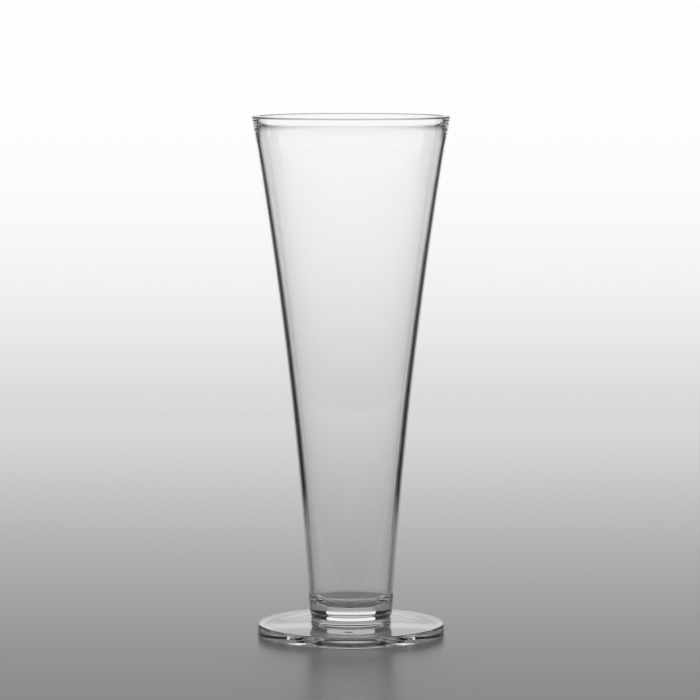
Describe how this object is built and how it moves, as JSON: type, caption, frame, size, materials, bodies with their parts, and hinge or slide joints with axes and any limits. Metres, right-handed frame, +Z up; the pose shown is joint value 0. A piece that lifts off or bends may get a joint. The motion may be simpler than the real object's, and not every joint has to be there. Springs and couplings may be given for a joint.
{
  "type": "pilsner glass",
  "caption": "Tall clear pilsner glass: a slender bowl with a solid base that flares to a thickened lip, bonded to a round foot.",
  "frame": {"origin": "on the table, at the middle of the underside of the foot", "axes": "+Z up along the axis of the glass; the glass is round, so X and Y are free"},
  "size_m": [0.0808, 0.0808, 0.2128],
  "materials": {
    "bowl_glass": "clear, fire-polished",
    "foot_glass": "clear, polished",
    "clear_bond": "clear cured adhesive"
  },
  "bodies": {
    "root": {"bowl": "bowl_glass", "foot": "foot_glass", "bond_film": "clear_bond"}
  },
  "joints": []
}
